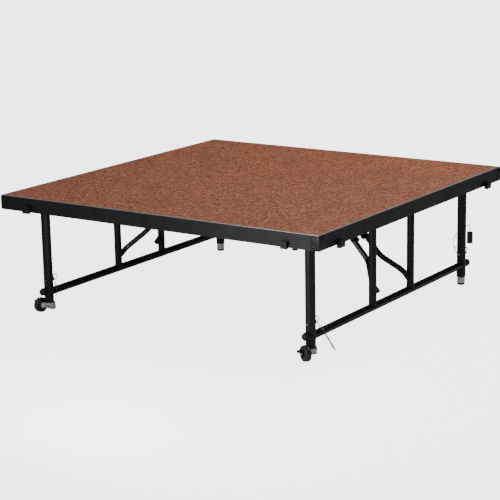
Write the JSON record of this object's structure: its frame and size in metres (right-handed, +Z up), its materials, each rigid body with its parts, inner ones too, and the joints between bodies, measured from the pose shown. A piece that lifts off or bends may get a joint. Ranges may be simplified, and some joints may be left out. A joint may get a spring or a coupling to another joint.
{
  "type": "folding stage riser platform",
  "caption": "Low square stage platform with a brown hardboard top on two folding tubular leg frames with braces, casters and lock pins.",
  "frame": {"origin": "on the floor below the middle of the whole object's plan", "axes": "+Z up, +X along the front towards the side with the coupling hooks, +Y from the caster side to the glide side"},
  "size_m": [1.2316, 1.2316, 0.4128],
  "materials": {
    "hardboard": "smooth tempered hardboard, reddish brown, dull sheen",
    "plywood": "bare plywood",
    "aluminium_trim": "satin extruded angle",
    "rail_steel": "black powder coat, satin",
    "black_steel": "black paint, semi-gloss",
    "zinc": "bright zinc plate",
    "steel_wire": "thin stranded wire",
    "black_plastic": "matt black",
    "rubber": "matt black rubber",
    "wheel_rubber": "dark grey caster tread"
  },
  "bodies": {
    "deck": {"deck_core": "plywood", "deck_surface": "hardboard", "rail_front": "rail_steel", "edge_trim_front": "aluminium_trim", "rail_rear": "rail_steel", "edge_trim_rear": "aluminium_trim", "rail_left": "rail_steel", "edge_trim_left": "aluminium_trim", "rail_right": "rail_steel", "edge_trim_right": "aluminium_trim", "coupling_block_left": "black_plastic", "coupling_block_right": "black_plastic", "coupling_hook_front": "black_steel", "coupling_hook_rear": "black_steel", "brace_strap_left": "black_steel", "hinge_bracket_left_front": "black_steel", "hinge_bracket_left_rear": "black_steel", "brace_strap_right": "black_steel", "hinge_bracket_right_front": "black_steel", "hinge_bracket_right_rear": "black_steel"},
    "leg_frame_left": {"hinge_tube_left": "black_steel", "cross_tube_left": "black_steel", "glide_left": "rubber", "outer_leg_left_front": "black_steel", "inner_leg_left_front": "zinc", "upright_left_front": "black_steel", "tube_end_left_front": "rubber", "safety_wire_left_front": "steel_wire", "outer_leg_left_rear": "black_steel", "inner_leg_left_rear": "zinc", "upright_left_rear": "black_steel", "tube_end_left_rear": "rubber", "safety_wire_left_rear": "steel_wire"},
    "brace_links_left": {"brace_links_left": "black_steel"},
    "brace_arms_left": {"brace_arms_left": "black_steel"},
    "caster_fork_left": {"caster_fork_left": "zinc"},
    "caster_wheel_left": {"caster_wheel_left": "wheel_rubber"},
    "caster_brake_left": {"caster_brake_left": "black_plastic"},
    "lock_pin_left_front": {"lock_pin_left_front": "zinc"},
    "lock_pin_left_rear": {"lock_pin_left_rear": "zinc"},
    "leg_frame_right": {"hinge_tube_right": "black_steel", "cross_tube_right": "black_steel", "glide_right": "rubber", "outer_leg_right_front": "black_steel", "inner_leg_right_front": "zinc", "upright_right_front": "black_steel", "tube_end_right_front": "rubber", "safety_wire_right_front": "steel_wire", "outer_leg_right_rear": "black_steel", "inner_leg_right_rear": "zinc", "upright_right_rear": "black_steel", "tube_end_right_rear": "rubber", "safety_wire_right_rear": "steel_wire"},
    "brace_links_right": {"brace_links_right": "black_steel"},
    "brace_arms_right": {"brace_arms_right": "black_steel"},
    "caster_fork_right": {"caster_fork_right": "zinc"},
    "caster_wheel_right": {"caster_wheel_right": "wheel_rubber"},
    "caster_brake_right": {"caster_brake_right": "black_plastic"},
    "lock_pin_right_front": {"lock_pin_right_front": "zinc"},
    "lock_pin_right_rear": {"lock_pin_right_rear": "zinc"}
  },
  "joints": [
    {"name": "frame_left_fold", "type": "hinge", "parent": "deck", "child": "leg_frame_left", "pos_m": [-0.52065, 0, 0.3708], "axis": [0, -1, 0], "range_deg": [0, 83]},
    {"name": "brace_links_left_swing", "type": "hinge", "parent": "deck", "child": "brace_links_left", "pos_m": [-0.30295, 0, 0.3708], "axis": [0, -1, 0], "range_deg": [-47.33, 0]},
    {"name": "brace_arms_left_elbow", "type": "hinge", "parent": "brace_links_left", "child": "brace_arms_left", "pos_m": [-0.40135, 0, 0.25803], "axis": [0, -1, 0], "range_deg": [0, 170.1]},
    {"name": "caster_left_swivel", "type": "hinge", "parent": "leg_frame_left", "child": "caster_fork_left", "pos_m": [-0.52065, -0.49835, 0.0254], "axis": [0, 0, 1], "continuous": true},
    {"name": "caster_left_wheel_spin", "type": "hinge", "parent": "caster_fork_left", "child": "caster_wheel_left", "pos_m": [-0.54885, -0.50953, 0.0254], "axis": [0.9874, -0.1582, 0], "continuous": true},
    {"name": "caster_left_brake_press", "type": "hinge", "parent": "caster_fork_left", "child": "caster_brake_left", "pos_m": [-0.55872, -0.50795, 0.0254], "axis": [0.9874, -0.1582, 0], "range_deg": [0, 20]},
    {"name": "lock_pin_left_front_pull", "type": "slide", "parent": "leg_frame_left", "child": "lock_pin_left_front", "axis": [0, 1, 0], "range_m": [0, 0.045]},
    {"name": "lock_pin_left_rear_pull", "type": "slide", "parent": "leg_frame_left", "child": "lock_pin_left_rear", "axis": [0, 1, 0], "range_m": [0, 0.045]},
    {"name": "frame_right_fold", "type": "hinge", "parent": "deck", "child": "leg_frame_right", "pos_m": [0.50835, 0, 0.3708], "axis": [0, 1, 0], "range_deg": [0, 83]},
    {"name": "brace_links_right_swing", "type": "hinge", "parent": "deck", "child": "brace_links_right", "pos_m": [0.29065, 0, 0.3708], "axis": [0, 1, 0], "range_deg": [-47.33, 0]},
    {"name": "brace_arms_right_elbow", "type": "hinge", "parent": "brace_links_right", "child": "brace_arms_right", "pos_m": [0.38905, 0, 0.25803], "axis": [0, 1, 0], "range_deg": [0, 170.1]},
    {"name": "caster_right_swivel", "type": "hinge", "parent": "leg_frame_right", "child": "caster_fork_right", "pos_m": [0.50835, -0.49835, 0.0254], "axis": [0, 0, 1], "continuous": true},
    {"name": "caster_right_wheel_spin", "type": "hinge", "parent": "caster_fork_right", "child": "caster_wheel_right", "pos_m": [0.50821, -0.52868, 0.0254], "axis": [0.515, 0.8572, 0], "continuous": true},
    {"name": "caster_right_brake_press", "type": "hinge", "parent": "caster_fork_right", "child": "caster_brake_right", "pos_m": [0.50306, -0.53726, 0.0254], "axis": [0.515, 0.8572, 0], "range_deg": [0, 20]},
    {"name": "lock_pin_right_front_pull", "type": "slide", "parent": "leg_frame_right", "child": "lock_pin_right_front", "axis": [0, 1, 0], "range_m": [0, 0.045]},
    {"name": "lock_pin_right_rear_pull", "type": "slide", "parent": "leg_frame_right", "child": "lock_pin_right_rear", "axis": [0, 1, 0], "range_m": [0, 0.045]}
  ],
  "couplings": [
    {"joint": "brace_links_left_swing", "follows": "frame_left_fold", "ratio": -0.57014},
    {"joint": "brace_arms_left_elbow", "follows": "frame_left_fold", "ratio": 2.0493},
    {"joint": "brace_links_right_swing", "follows": "frame_right_fold", "ratio": -0.57014},
    {"joint": "brace_arms_right_elbow", "follows": "frame_right_fold", "ratio": 2.0493}
  ]
}
